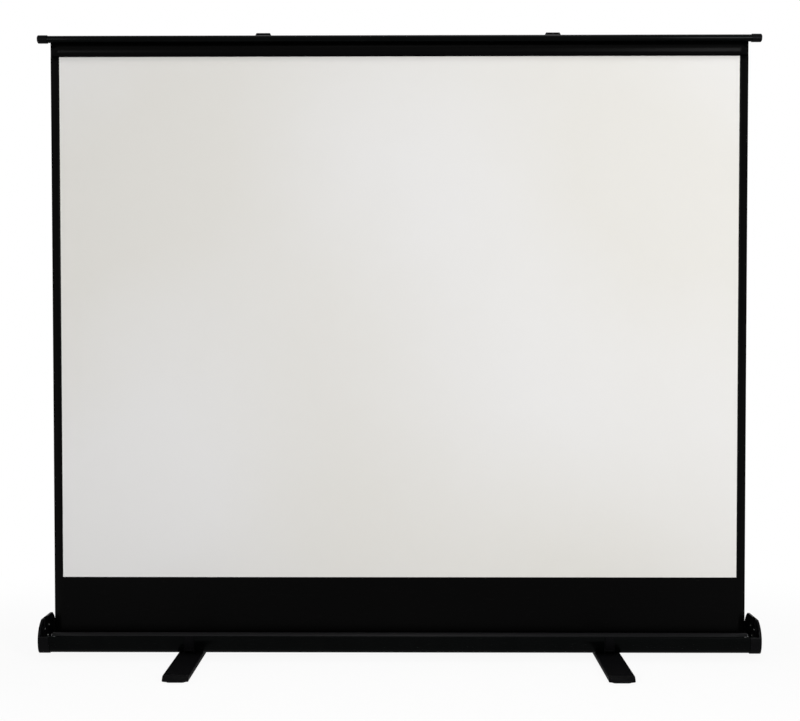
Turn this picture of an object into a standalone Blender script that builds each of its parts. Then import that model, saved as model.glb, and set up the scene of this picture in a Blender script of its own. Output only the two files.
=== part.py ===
"""Portable pull-up projection screen, standing open on its two swing-out feet.

The origin is on the floor under the middle of the case. X runs to the right as
seen from the front, Y to the back and Z up. All lengths are in metres and all
angles in degrees.

The screen is raised by a scissor behind the fabric. Its four ends run on slide
blocks in T-slots, two in a rail on the floor of the case and two in the back of
the top tube. Two short links keep the top tube over the middle of the case.
"""
import math

import bmesh
import bpy
from mathutils import Matrix, Vector

# Fits and cutting
gap = 0.0003
overrun = 0.004

# Facets of round pieces
wide_sides = 28
pin_sides = 16
curve_steps = 7
corner_steps = 4
smooth_angle = 35.0

# Case section, seen from its end
case_depth = 0.160
case_height = 0.096
belly_height = 0.038
lip_height = 0.052
floor_half_width = 0.063
side_bulge_share = 0.6465517
shoulder_radius = 0.006
shell_wall = 0.002
lip_depth = 0.006
lip_edge = 0.0008
cap_length = 0.033
cap_wall = 0.0018
cap_plate = 0.008
cap_back_drop = 0.010
cap_room_beside_roller = 0.0265
cap_edge_radius = 0.003
cap_edge_segments = 2

# Hinge bead along the back of the lid
bead_radius = 0.0024
bead_neck = 0.0014
groove_wall = 0.0016
lid_open_angle = 110.0
neck_play_angle = 22.0
neck_room = 0.0022
lid_end_gap = 0.001
lid_seam = 0.0006
keeper_width = 0.026
keeper_thickness = 0.002
keeper_start_angle = 17.0
keeper_end_angle = 27.0

# Carry handle on the lid
handle_length = 0.170
handle_width = 0.024
handle_height = 0.030
handle_bar = 0.008
handle_foot_length = 0.022
handle_corner = 0.012

# Swing-out feet
foot_x = 0.620
foot_pivot_y = 0.005
foot_length = 0.592
foot_width = 0.075
foot_height = 0.016
foot_wall = 0.002
foot_corner = 0.004
foot_room_under_case = 0.003
nose_length = 0.022
nose_corner = 0.016
nose_edge = 0.003
nose_edge_segments = 2
tongue_length = 0.018
pad_thickness = 0.003
pad_length = 0.034
pad_width = 0.052
pad_corner = 0.008
pad_setback = 0.010
foot_washer_radius = 0.018
foot_bolt_radius = 0.004
foot_bolt_head_radius = 0.0075
foot_bolt_head_height = 0.0040
foot_access_radius = 0.010
foot_plate_length = 0.050
foot_plate_width = 0.026
foot_plate_thickness = 0.004
foot_bolt_end = 0.0012

# Screen fabric and its roller
fabric_width = 2.065
fabric_thickness = 0.0008
roller_y = -0.043
roller_height = 0.035
roller_radius = 0.019
roller_wall = 0.0015
roller_overhang = 0.001
wound_thickness = 0.0022
roller_flange = 0.0025
roller_spigot_length = 0.020
journal_radius = 0.005
bracket_thickness = 0.004
bracket_boss_radius = 0.0078
bracket_ahead = 0.014
bracket_behind = 0.0088
bracket_bottom = 0.022
bracket_top = 0.072
bracket_corner = 0.006

# Top tube
top_axis_z = 1.840
closed_axis_height = 0.075
tube_radius = 0.0104
tube_flat = 0.0096
tube_end_inset = 0.0018
tube_bore_radius = 0.0043
tube_bore_forward = 0.0030
tube_bore_up = 0.0025
spline_radius = 0.0024
spline_drop = 0.0065
spline_mouth = 0.0020
tube_plug_radius = 0.0122
tube_plug_length = 0.0285
tube_plug_wall = 0.0035
tube_plug_round = 0.0020
cradle_play = 0.0013
cradle_drop = 0.0110

# T-slot in the rail and in the back of the top tube
slot_mouth = 0.0048
slot_lip = 0.0014
slot_room = 0.0088
slot_depth = 0.0028
rail_back = 0.0016
rail_rise = 0.0080

# Scissor, links and slide blocks
pivot_height = 0.028
scissor_x = 0.027
half_span = 0.4293
arm_width = 0.022
arm_depth = 0.008
arm_wall = 0.002
arm_spacing = 0.001
link_width = 0.016
link_thickness = 0.004
slider_length = 0.050
slider_body_depth = 0.0117
slider_half_height = 0.0088
slider_chamfer = 0.004
tab_rise = 0.0095
tab_slant = 0.005
boss_radius = 0.0085
pin_radius = 0.004
pin_head_radius = 0.007
pin_head_thickness = 0.002
pin_seat_depth = 0.007
link_pin_seat_depth = 0.011
bracket_plate = 0.003
bracket_foot_depth = 0.016
bracket_half_length = 0.018
bracket_rise = 0.009
hanger_half_length = 0.014
hanger_half_height = 0.0088

# Lid latches on the front of the tray
latch_x = 0.620
latch_width = 0.024
latch_plate = 0.0014
latch_stand_off = 0.0032
latch_base_plate = 0.0012
latch_ear = 0.003
latch_ear_depth = 0.0062
latch_barrel_radius = 0.0021
latch_pin_radius = 0.0012
latch_low_angle = -52.0
latch_pivot_angle = -42.0
latch_ear_angle = -32.0
latch_high_angle = 2.0
latch_grip_angle = 14.0

# Places worked out from the sizes above
case_bottom_z = pad_thickness + foot_height + foot_room_under_case
belly_z = case_bottom_z + belly_height
case_half_depth = case_depth / 2
side_rise = case_height - belly_height
side_bulge = side_bulge_share * side_rise
shoulder_up = side_rise - shoulder_radius
side_square = side_bulge ** 2 + shoulder_up ** 2 - shoulder_radius ** 2
side_radius = side_square / (2 * (side_bulge - shoulder_radius))
side_centre_y = case_half_depth - side_radius
lip_z = case_bottom_z + lip_height
lip_rise = lip_height - belly_height
shoulder_across = side_radius - side_bulge
shoulder_angle = math.degrees(math.atan2(shoulder_up, shoulder_across))
roller_half_length = fabric_width / 2 + roller_overhang
cap_end_x = roller_half_length + cap_room_beside_roller
cap_outer_x = cap_end_x + cap_plate
cap_inner_x = cap_outer_x - cap_length
tube_half_length = cap_outer_x - tube_end_inset
tray_inset = cap_wall + gap
tray_end_x = cap_end_x - gap
tray_bottom_z = case_bottom_z + tray_inset
tray_floor_z = tray_bottom_z + shell_wall
groove_radius = bead_radius + gap
groove_outer_radius = groove_radius + groove_wall
groove_start_angle = 90 - lid_open_angle - neck_play_angle
groove_end_angle = 90 + neck_play_angle
groove_reach = groove_outer_radius * math.cos(math.radians(groove_start_angle))
hinge_y = case_half_depth - tray_inset - groove_reach
hinge_z = belly_z
lid_end_x = cap_end_x - lid_end_gap

roller_z = case_bottom_z + roller_height
wound_inner_radius = roller_radius + gap
wound_radius = wound_inner_radius + wound_thickness
fabric_y = roller_y + wound_radius + gap + fabric_thickness / 2
bar_y = fabric_y
closed_axis_z = case_bottom_z + closed_axis_height
cradle_radius = tube_plug_radius + gap + cradle_play
cradle_z = closed_axis_z - cradle_drop
bracket_front_y = roller_y - bracket_ahead
bracket_back_y = roller_y + bracket_behind

slide_face_y = bar_y + tube_flat
slot_room_y = slide_face_y - slot_lip
slot_end_y = slot_room_y - slot_depth
rail_front_y = slot_end_y - rail_back
slider_front_y = slide_face_y + gap
slider_back_y = slider_front_y + slider_body_depth
front_arm_y = slider_back_y + gap
rear_arm_y = front_arm_y + arm_depth + arm_spacing
link_back_y = rear_arm_y + link_thickness

pivot_z = case_bottom_z + pivot_height
arm_rise = top_axis_z - pivot_z
arm_length = math.hypot(2 * half_span, arm_rise)
arm_angle = math.degrees(math.atan2(arm_rise, 2 * half_span))
link_length = arm_length / 4
quarter_x = half_span / 2
lower_joint_z = pivot_z + arm_rise / 4
middle_z = pivot_z + arm_rise / 2
upper_joint_z = top_axis_z - arm_rise / 4

SIDES = (("left", -1), ("right", 1))


def finish(name, colour, roughness, metallic=0):
    """A plain surface finish with one colour."""
    material = bpy.data.materials.new(name)
    material.use_nodes = True
    shader = material.node_tree.nodes["Principled BSDF"]
    shader.inputs["Base Color"].default_value = (*colour, 1)
    shader.inputs["Roughness"].default_value = roughness
    shader.inputs["Metallic"].default_value = metallic
    material.diffuse_color = (*colour, 1)
    return material


def arc(centre, radii, start, end, steps):
    """Points on an ellipse from one angle to another, both ends included."""
    points = []
    for step in range(steps + 1):
        angle = math.radians(start + (end - start) * step / steps)
        first = centre[0] + radii[0] * math.cos(angle)
        second = centre[1] + radii[1] * math.sin(angle)
        points.append((first, second))
    return points


def rounded_box(low, high, radius, steps=corner_steps):
    """Outline of a rectangle with round corners."""
    radii = (radius, radius)
    left, bottom = low[0] + radius, low[1] + radius
    right, top = high[0] - radius, high[1] - radius
    points = arc((right, bottom), radii, -90, 0, steps)
    points += arc((right, top), radii, 0, 90, steps)
    points += arc((left, top), radii, 90, 180, steps)
    points += arc((left, bottom), radii, 180, 270, steps)
    return points


def box_outline(low, high):
    """Outline of a plain rectangle."""
    return [low, (high[0], low[1]), high, (low[0], high[1])]


def at_level(axis, level, point):
    """A point of an outline that is pushed along the named axis."""
    if axis == "X":
        return (level, point[0], point[1])
    if axis == "Y":
        return (point[0], level, point[1])
    return (point[0], point[1], level)


def add_piece(name, solid, material):
    """Turn the worked solid into a named object."""
    bmesh.ops.recalc_face_normals(solid, faces=solid.faces)
    mesh = bpy.data.meshes.new(name)
    solid.to_mesh(mesh)
    solid.free()
    if material:
        mesh.materials.append(material)
    piece = bpy.data.objects.new(name, mesh)
    bpy.context.scene.collection.objects.link(piece)
    return piece


def prism(name, outline, axis, low, high, material=None):
    """Push an outline along an axis from one level to another."""
    solid = bmesh.new()
    rings = []
    for level in (low, high):
        ring = [solid.verts.new(at_level(axis, level, point)) for point in outline]
        solid.faces.new(ring)
        rings.append(ring)
    for index in range(len(outline)):
        following = (index + 1) % len(outline)
        corners = (rings[0][index], rings[0][following], rings[1][following], rings[1][index])
        solid.faces.new(corners)
    return add_piece(name, solid, material)


def hollow_prism(name, outer, inner, axis, low, high, material):
    """Push a ring between two like outlines along an axis, open at both ends."""
    solid = bmesh.new()
    loops = []
    for outline, level in ((outer, low), (outer, high), (inner, high), (inner, low)):
        loops.append([solid.verts.new(at_level(axis, level, point)) for point in outline])
    for number in range(len(loops)):
        first = loops[number]
        second = loops[(number + 1) % len(loops)]
        for index in range(len(outer)):
            following = (index + 1) % len(outer)
            solid.faces.new((first[index], first[following], second[following], second[index]))
    return add_piece(name, solid, material)


def turned(name, profile, axis, centre, sides, material=None, hollow=False):
    """Turn a profile of (place along the axis, radius) points about that axis."""
    solid = bmesh.new()
    rings = []
    for along, radius in profile:
        ring = []
        for side in range(sides):
            angle = math.tau * side / sides
            first = centre[0] + radius * math.cos(angle)
            second = centre[1] + radius * math.sin(angle)
            ring.append(solid.verts.new(at_level(axis, along, (first, second))))
        rings.append(ring)
    pairs = list(zip(rings, rings[1:]))
    if hollow:
        pairs.append((rings[-1], rings[0]))
    else:
        solid.faces.new(rings[0])
        solid.faces.new(rings[-1])
    for first, second in pairs:
        for index in range(sides):
            following = (index + 1) % sides
            solid.faces.new((first[index], first[following], second[following], second[index]))
    piece = add_piece(name, solid, material)
    smooth(piece)
    return piece


def rod(name, axis, centre, radius, low, high, sides=pin_sides, material=None):
    """A plain round bar."""
    return turned(name, [(low, radius), (high, radius)], axis, centre, sides, material)


def smooth(piece):
    """Shade the round faces smooth and keep the edges sharp."""
    piece.data.shade_smooth()
    piece.data.set_sharp_from_angle(angle=math.radians(smooth_angle))


def combine(piece, tool, operation):
    """Apply a Boolean with a shape that is then removed."""
    modifier = piece.modifiers.new("shape", "BOOLEAN")
    modifier.operation = operation
    modifier.object = tool
    depsgraph = bpy.context.evaluated_depsgraph_get()
    worked = bpy.data.meshes.new_from_object(piece.evaluated_get(depsgraph))
    piece.modifiers.remove(modifier)
    piece.data = worked
    bpy.data.objects.remove(tool)


def drill(piece, axis, places, radius, low, high):
    """Bore a round hole at each place."""
    for centre in places:
        combine(piece, rod("drill", axis, centre, radius, low, high), "DIFFERENCE")


def pivot_on(piece, point):
    """Put the origin of a piece on its joint and leave the piece where it is."""
    piece.data.transform(Matrix.Translation(-Vector(point)))
    piece.location = point


def lower_side(inset, start, end, steps=curve_steps):
    """Part of the back wall below its widest line, as (distance back, height) points."""
    radii = (case_half_depth - floor_half_width - inset, belly_height - inset)
    return arc((floor_half_width, belly_z), radii, start, end, steps)


def upper_side(inset, start, end, steps=curve_steps):
    """Part of the back wall above its widest line."""
    radius = side_radius - inset
    return arc((side_centre_y, belly_z), (radius, radius), start, end, steps)


def whole_upper_side(inset, start):
    """The back wall from an angle above its widest line over the round shoulder."""
    radius = shoulder_radius - inset
    centre = (side_centre_y + shoulder_across, belly_z + shoulder_up)
    shoulder = arc(centre, (radius, radius), shoulder_angle, 90, corner_steps)
    return upper_side(inset, start, shoulder_angle) + shoulder[1:]


def angle_at(rise, inset):
    """Angle at which the upper wall reaches a height above its widest line."""
    return math.degrees(math.asin(rise / (side_radius - inset)))


def mirrored(points):
    """The same points on the front half, in the opposite order."""
    return [(-back, height) for back, height in reversed(points)]


def case_outline(inset):
    """The whole closed section of the case."""
    back = lower_side(inset, -90, 0) + whole_upper_side(inset, 0)[1:]
    return back + mirrored(back)


def slot_outline(middle):
    """The T-slot from its upper mouth edge to its lower one, open to the back."""
    mouth = slot_mouth / 2
    room = slot_room / 2
    upper = [
        (slide_face_y, middle + mouth),
        (slot_room_y, middle + mouth),
        (slot_room_y, middle + room),
        (slot_end_y, middle + room),
    ]
    lower = [(back, 2 * middle - height) for back, height in reversed(upper)]
    return upper + lower


def tray_outline():
    """Section of the tray: front lip, floor with the slide rail, and hinge groove."""
    wall_end = -math.degrees(math.asin(groove_outer_radius / (belly_height - tray_inset)))
    inner_share = (groove_reach - shell_wall) / groove_outer_radius
    inner_turn = -math.degrees(math.acos(inner_share))
    hinge = (hinge_y, hinge_z)
    outside = (groove_outer_radius, groove_outer_radius)
    inside = (groove_radius, groove_radius)
    inner_inset = tray_inset + shell_wall

    lip_angle = angle_at(lip_rise - lip_edge, tray_inset)
    outer_front = lower_side(tray_inset, -90, 0)
    outer_front += upper_side(tray_inset, 0, lip_angle, corner_steps)[1:]
    points = mirrored(outer_front)
    points += lower_side(tray_inset, -90, wall_end)
    points += arc(hinge, outside, groove_start_angle, groove_start_angle, 1)[1:]
    points += arc(hinge, inside, groove_start_angle, groove_end_angle - 360, wide_sides // 2)
    points += arc(hinge, outside, groove_end_angle - 360, inner_turn, curve_steps)
    points += list(reversed(lower_side(inner_inset, -90, wall_end)))
    points += [(slide_face_y, tray_floor_z)]
    points += list(reversed(slot_outline(pivot_z)))
    points += [(slide_face_y, pivot_z + rail_rise), (rail_front_y, pivot_z + rail_rise)]
    points += [(rail_front_y, tray_floor_z)]
    inner_angle = angle_at(lip_rise - shell_wall, inner_inset)
    inner_front = lower_side(inner_inset, -90, 0)
    inner_front += upper_side(inner_inset, 0, inner_angle, corner_steps)[1:]
    points += list(reversed(mirrored(inner_front)))
    top_y = -outer_front[-1][0] + lip_edge
    lip_y = top_y + lip_depth
    points += [(lip_y, lip_z - shell_wall), (lip_y, lip_z), (top_y, lip_z)]
    return points


def make_tray(material):
    """The extruded floor and walls of the case."""
    tray = prism("case_tray", tray_outline(), "X", -tray_end_x, tray_end_x, material)
    places = [(side * foot_x, foot_pivot_y) for _, side in SIDES]
    low = tray_bottom_z - overrun / 2
    high = tray_floor_z + overrun / 2
    drill(tray, "Z", places, foot_bolt_radius + gap, low, high)
    smooth(tray)


def round_outer_end(piece, level):
    """Round the edge of the outer end face."""
    solid = bmesh.new()
    solid.from_mesh(piece.data)
    edges = []
    for edge in solid.edges:
        if all(abs(vert.co.x - level) < gap for vert in edge.verts):
            edges.append(edge)
    bmesh.ops.bevel(
        solid, geom=edges, offset=cap_edge_radius, segments=cap_edge_segments,
        profile=0.5, affect="EDGES",
    )
    solid.to_mesh(piece.data)
    solid.free()


def make_end_cap(label, side, material):
    """A moulded end plate with a skirt round the tray and a cradle for the lowered tube."""
    inner = side * cap_inner_x
    outer = side * cap_outer_x
    face = side * cap_end_x
    cap = prism(f"end_cap_{label}", case_outline(0), "X", inner, outer, material)
    round_outer_end(cap, outer)
    before = inner - side * overrun
    combine(cap, prism("hollow", case_outline(cap_wall), "X", before, face), "DIFFERENCE")
    reach = case_half_depth + overrun
    top = case_bottom_z + case_height + overrun
    above = box_outline((-reach, lip_z), (reach, top))
    combine(cap, prism("roof", above, "X", before, face), "DIFFERENCE")
    behind = box_outline((floor_half_width, hinge_z - cap_back_drop), (reach, top))
    combine(cap, prism("hinge_room", behind, "X", before, face), "DIFFERENCE")
    seat = cradle_radius
    cradle = [(bar_y + seat, cradle_z), (bar_y + seat, top), (bar_y - seat, top)]
    cradle += arc((bar_y, cradle_z), (seat, seat), 180, 360, 2 * curve_steps)[:-1]
    opening = prism("cradle", cradle, "X", face - side * overrun, outer + side * overrun)
    combine(cap, opening, "DIFFERENCE")
    smooth(cap)


def make_roller_bracket(label, side, material):
    """A plate inside the end cap with the bearing of the roller."""
    seat = side * (cap_end_x - gap)
    face = seat - side * bracket_thickness
    low = (bracket_front_y, case_bottom_z + bracket_bottom)
    high = (bracket_back_y, case_bottom_z + bracket_top)
    outline = rounded_box(low, high, bracket_corner)
    bracket = prism(f"roller_bracket_{label}", outline, "X", face, seat, material)
    centre = (roller_y, roller_z)
    boss_end = side * (roller_half_length + roller_flange + 2 * gap)
    inside = face + side * bracket_thickness / 2
    boss = rod("boss", "X", centre, bracket_boss_radius, boss_end, inside)
    combine(bracket, boss, "UNION")
    ends = sorted((boss_end - side * overrun, seat + side * overrun))
    drill(bracket, "X", [centre], journal_radius + gap, ends[0], ends[1])
    smooth(bracket)


def make_foot_mount(label, side, steel, nylon):
    """The plate, bolt and washer that carry one foot."""
    x = side * foot_x
    plate_low = tray_floor_z + gap
    plate_high = plate_low + foot_plate_thickness
    half = (foot_plate_length / 2, foot_plate_width / 2)
    outline = box_outline(
        (x - half[0], foot_pivot_y - half[1]), (x + half[0], foot_pivot_y + half[1])
    )
    plate = prism(f"foot_plate_{label}", outline, "Z", plate_low, plate_high, steel)
    centre = (x, foot_pivot_y)
    clear = foot_bolt_radius + gap
    drill(plate, "Z", [centre], clear, plate_low - overrun, plate_high + overrun)

    foot_top = pad_thickness + foot_height
    head_top = foot_top - foot_wall - gap
    bolt = [
        (head_top - foot_bolt_head_height, foot_bolt_head_radius),
        (head_top, foot_bolt_head_radius),
        (head_top, foot_bolt_radius),
        (plate_high + foot_bolt_end, foot_bolt_radius),
    ]
    turned(f"foot_bolt_{label}", bolt, "Z", centre, pin_sides, steel)

    low = foot_top + gap
    high = tray_bottom_z - gap
    washer = [(low, clear), (low, foot_washer_radius), (high, foot_washer_radius), (high, clear)]
    turned(f"foot_washer_{label}", washer, "Z", centre, wide_sides, nylon, hollow=True)


def make_foot(label, side, steel, plastic, rubber):
    """One swing-out foot: hollow profile, two noses and two pads."""
    x = side * foot_x
    pivot = (x, foot_pivot_y, 0)
    half = foot_width / 2
    low = (x - half, pad_thickness)
    high = (x + half, pad_thickness + foot_height)
    outer = rounded_box(low, high, foot_corner)
    room = foot_wall
    inner = rounded_box(
        (low[0] + room, low[1] + room), (high[0] - room, high[1] - room), foot_corner - room
    )
    reach = foot_length / 2 - nose_length
    foot = hollow_prism(f"foot_{label}", outer, inner, "Y", -reach, reach, steel)
    centre = [(x, foot_pivot_y)]
    split = pad_thickness + foot_height / 2
    drill(foot, "Z", centre, foot_bolt_radius + gap, split, high[1] + overrun)
    drill(foot, "Z", centre, foot_access_radius, low[1] - overrun, split)
    smooth(foot)
    pivot_on(foot, pivot)
    for end, toward in (("front", -1), ("rear", 1)):
        make_nose(f"foot_nose_{end}_{label}", x, toward, pivot, plastic)
        make_pad(f"foot_pad_{end}_{label}", x, toward, pivot, rubber)


def make_nose(name, x, toward, pivot, material):
    """A moulded end plug with a rounded tip and a tongue inside the profile."""
    half = foot_width / 2
    start = toward * (foot_length / 2 - nose_length + gap)
    tip = toward * foot_length / 2
    corner = tip - toward * nose_corner
    radii = (nose_corner, toward * nose_corner)
    outline = [(x - half, start), (x + half, start)]
    outline += arc((x + half - nose_corner, corner), radii, 0, 90, corner_steps)
    outline += arc((x - half + nose_corner, corner), radii, 90, 180, corner_steps)
    low, high = pad_thickness, pad_thickness + foot_height
    nose = prism(name, outline, "Z", low, high, material)
    solid = bmesh.new()
    solid.from_mesh(nose.data)
    edges = []
    for edge in solid.edges:
        on_top = all(abs(vert.co.z - high) < gap for vert in edge.verts)
        at_start = all(abs(vert.co.y - start) < gap for vert in edge.verts)
        if on_top and not at_start:
            edges.append(edge)
    bmesh.ops.bevel(
        solid, geom=edges, offset=nose_edge, segments=nose_edge_segments,
        profile=0.5, affect="EDGES",
    )
    solid.to_mesh(nose.data)
    solid.free()
    side_room = foot_wall + gap
    tongue = rounded_box(
        (x - half + side_room, low + side_room), (x + half - side_room, high - side_room),
        foot_corner - side_room,
    )
    inside = start + toward * nose_edge
    combine(nose, prism("tongue", tongue, "Y", start - toward * tongue_length, inside), "UNION")
    smooth(nose)
    pivot_on(nose, pivot)


def make_pad(name, x, toward, pivot, material):
    """A rubber pad under one end of a foot."""
    outer = toward * (foot_length / 2 - pad_setback)
    inner = outer - toward * pad_length
    low = (x - pad_width / 2, min(outer, inner))
    high = (x + pad_width / 2, max(outer, inner))
    pad = prism(name, rounded_box(low, high, pad_corner), "Z", 0, pad_thickness - gap, material)
    pivot_on(pad, pivot)


def lid_outline():
    """Section of the closed lid, from its front edge over the top to the hinge bead."""
    inner_inset = tray_inset + shell_wall
    edge_rise = lip_rise + lid_seam
    neck_top = groove_outer_radius + neck_room
    back_angle = angle_at(neck_top, tray_inset)
    half_neck = bead_neck / 2
    neck_turn = math.degrees(math.asin(half_neck / bead_radius))
    bead = (bead_radius, bead_radius)
    points = list(reversed(whole_upper_side(tray_inset, back_angle)))
    points += [(hinge_y + half_neck, hinge_z + neck_top)]
    points += arc((hinge_y, hinge_z), bead, 90 - neck_turn, -270 + neck_turn, pin_sides)
    points += [(hinge_y - half_neck, hinge_z + neck_top)]
    points += whole_upper_side(inner_inset, angle_at(neck_top, inner_inset))
    points += mirrored(whole_upper_side(inner_inset, angle_at(edge_rise, inner_inset)))
    outer_front = mirrored(whole_upper_side(tray_inset, angle_at(edge_rise, tray_inset)))
    points += list(reversed(outer_front))
    return points


def make_lid(metal, plastic):
    """The lid, its two latch keepers and the carry handle, on the hinge axis."""
    axis = bpy.data.objects.new("lid_axis", None)
    bpy.context.scene.collection.objects.link(axis)
    axis.location = (0, hinge_y, hinge_z)
    lid = prism("lid_shell", lid_outline(), "X", -lid_end_x, lid_end_x, metal)
    smooth(lid)
    pieces = [lid]
    for label, side in SIDES:
        pieces.append(make_keeper(label, side, plastic))
    pieces.append(make_handle(plastic))
    for piece in pieces:
        piece.data.transform(Matrix.Translation(-axis.location))
        piece.parent = axis
    axis.rotation_euler = (-math.radians(lid_open_angle), 0, 0)


def make_keeper(label, side, material):
    """A raised ledge on the front edge of the lid for the latch to pull on."""
    inset = tray_inset - gap
    angles = (keeper_start_angle, keeper_end_angle)
    seat = mirrored(upper_side(inset, *angles, corner_steps))
    proud = mirrored(upper_side(inset - keeper_thickness, *angles, corner_steps))
    low = side * latch_x - keeper_width / 2
    outline = seat + list(reversed(proud))
    return prism(f"lid_keeper_{label}", outline, "X", low, low + keeper_width, material)


def make_handle(material):
    """A moulded carry grip on the flat top of the lid."""
    base = case_bottom_z + case_height - tray_inset + gap
    half = handle_length / 2
    top = base + handle_height
    radii = (handle_corner, handle_corner)
    inner_half = half - handle_bar
    inner_radii = (handle_corner - handle_bar / 2, handle_corner - handle_bar / 2)
    ceiling = top - handle_bar
    outline = [(half, base)]
    outline += arc((half - radii[0], top - radii[0]), radii, 0, 90, corner_steps)
    outline += arc((-half + radii[0], top - radii[0]), radii, 90, 180, corner_steps)
    outline += [(-half, base), (-half + handle_foot_length, base)]
    outline += [(-half + handle_foot_length, base + handle_bar / 2)]
    outline += [(-inner_half, base + handle_bar / 2)]
    outline += arc(
        (-inner_half + inner_radii[0], ceiling - inner_radii[0]), inner_radii, 180, 90, corner_steps
    )
    outline += arc(
        (inner_half - inner_radii[0], ceiling - inner_radii[0]), inner_radii, 90, 0, corner_steps
    )
    outline += [(inner_half, base + handle_bar / 2)]
    outline += [(half - handle_foot_length, base + handle_bar / 2)]
    outline += [(half - handle_foot_length, base)]
    return prism("carry_handle", outline, "Y", -handle_width / 2, handle_width / 2, material)


def make_roller(aluminium, plastic, fabric):
    """The spring roller that winds the fabric in the case."""
    centre = (roller_y, roller_z)
    pivot = (0, roller_y, roller_z)
    end = roller_half_length
    bore = roller_radius - roller_wall
    tube = [(-end, bore), (-end, roller_radius), (end, roller_radius), (end, bore)]
    pieces = [turned("roller_tube", tube, "X", centre, wide_sides, aluminium, hollow=True)]
    width = fabric_width / 2
    wound = [
        (-width, wound_inner_radius), (-width, wound_radius),
        (width, wound_radius), (width, wound_inner_radius),
    ]
    pieces.append(turned("roller_fabric", wound, "X", centre, wide_sides, fabric, hollow=True))
    for label, side in SIDES:
        flange = end + gap
        plug = [
            (side * (end - roller_spigot_length), bore - gap),
            (side * flange, bore - gap),
            (side * flange, roller_radius),
            (side * (flange + roller_flange), roller_radius),
            (side * (flange + roller_flange), journal_radius),
            (side * (cap_end_x - 2 * gap), journal_radius),
        ]
        pieces.append(turned(f"roller_plug_{label}", plug, "X", centre, wide_sides, plastic))
    for piece in pieces:
        pivot_on(piece, pivot)


def make_fabric(material):
    """The drawn-out screen, from the back of the roller to the slot under the tube."""
    half = fabric_width / 2
    top = top_axis_z - spline_drop - spline_radius - gap
    outline = box_outline((-half, roller_z), (half, top))
    low = fabric_y - fabric_thickness / 2
    prism("screen_fabric", outline, "Y", low, low + fabric_thickness, material)


def tube_outline():
    """Section of the top tube: T-slot at the back and spline slot below."""
    flat_turn = math.degrees(math.acos(tube_flat / tube_radius))
    half_mouth = spline_mouth / 2
    mouth_turn = math.degrees(math.asin(half_mouth / tube_radius))
    slot_radius = spline_radius + gap
    slot_turn = math.degrees(math.asin(half_mouth / slot_radius))
    centre = (bar_y, top_axis_z)
    outside = (tube_radius, tube_radius)
    inside = (slot_radius, slot_radius)
    spline = (bar_y, top_axis_z - spline_drop)
    points = arc(centre, outside, flat_turn, 270 - mouth_turn, wide_sides // 2)
    points += arc(spline, inside, 270 - slot_turn, -90 + slot_turn, pin_sides // 2)
    points += arc(centre, outside, -90 + mouth_turn, -flat_turn, corner_steps)
    points += list(reversed(slot_outline(top_axis_z)))
    return points


def make_top_bar(aluminium, plastic, rubber):
    """The top tube, its sleeves with a flat back, and the spline that holds the fabric."""
    centre = (bar_y, top_axis_z)
    pivot = (0, bar_y, top_axis_z)
    tube = prism("top_tube", tube_outline(), "X", -tube_half_length, tube_half_length, aluminium)
    bore = (bar_y - tube_bore_forward, top_axis_z + tube_bore_up)
    reach = tube_half_length + overrun
    drill(tube, "X", [bore], tube_bore_radius, -reach, reach)
    smooth(tube)
    spline = rod(
        "fabric_spline", "X", (bar_y, top_axis_z - spline_drop), spline_radius,
        -fabric_width / 2, fabric_width / 2, pin_sides, rubber,
    )
    pieces = [tube, spline]
    inner = tube_radius + gap
    outer = tube_plug_radius
    for label, side in SIDES:
        end = tube_half_length + gap
        tip = end + tube_plug_wall
        mouth = tip - tube_plug_length
        cup = [
            (side * end, inner), (side * mouth, inner), (side * mouth, outer),
            (side * (tip - tube_plug_round), outer), (side * tip, outer - tube_plug_round),
        ]
        plug = turned(f"tube_plug_{label}", cup, "X", centre, wide_sides, plastic)
        behind = box_outline(
            (slide_face_y, top_axis_z - outer - overrun),
            (bar_y + outer + overrun, top_axis_z + outer + overrun),
        )
        far = side * (tip + overrun)
        combine(plug, prism("flat", behind, "X", side * (mouth - overrun), far), "DIFFERENCE")
        smooth(plug)
        pieces.append(plug)
    for piece in pieces:
        pivot_on(piece, pivot)


def make_arm(name, front_y, behind, ahead, holes, material):
    """A channel arm along X, with round ends and its pivot holes."""
    half = arm_width / 2
    back_y = front_y + arm_depth
    web_y = front_y + arm_wall
    section = [
        (front_y, -half), (back_y, -half), (back_y, -half + arm_wall), (web_y, -half + arm_wall),
        (web_y, half - arm_wall), (back_y, half - arm_wall), (back_y, half), (front_y, half),
    ]
    arm = prism(name, section, "X", -behind - half, ahead + half, material)
    round_ends = arc((ahead, 0), (half, half), -90, 90, 2 * corner_steps)
    round_ends += arc((-behind, 0), (half, half), 90, 270, 2 * corner_steps)
    envelope = prism("ends", round_ends, "Y", front_y - overrun, back_y + overrun)
    combine(arm, envelope, "INTERSECT")
    centres = [(place, 0) for place in holes]
    drill(arm, "Y", centres, pin_radius + gap, front_y - overrun, web_y + overrun)
    return arm


def make_link(name, material):
    """A flat centring link along X, from its pivot to its far eye."""
    half = link_width / 2
    outline = arc((link_length, 0), (half, half), -90, 90, 2 * corner_steps)
    outline += arc((0, 0), (half, half), 90, 270, 2 * corner_steps)
    link = prism(name, outline, "Y", rear_arm_y, link_back_y, material)
    ends = [(0, 0), (link_length, 0)]
    drill(link, "Y", ends, pin_radius + gap, rear_arm_y - overrun, link_back_y + overrun)
    return link


def lean(piece, x, z, angle):
    """Set a piece on its pivot and turn it up from the X axis."""
    piece.location = (x, 0, z)
    piece.rotation_euler = (0, -math.radians(angle), 0)


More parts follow.
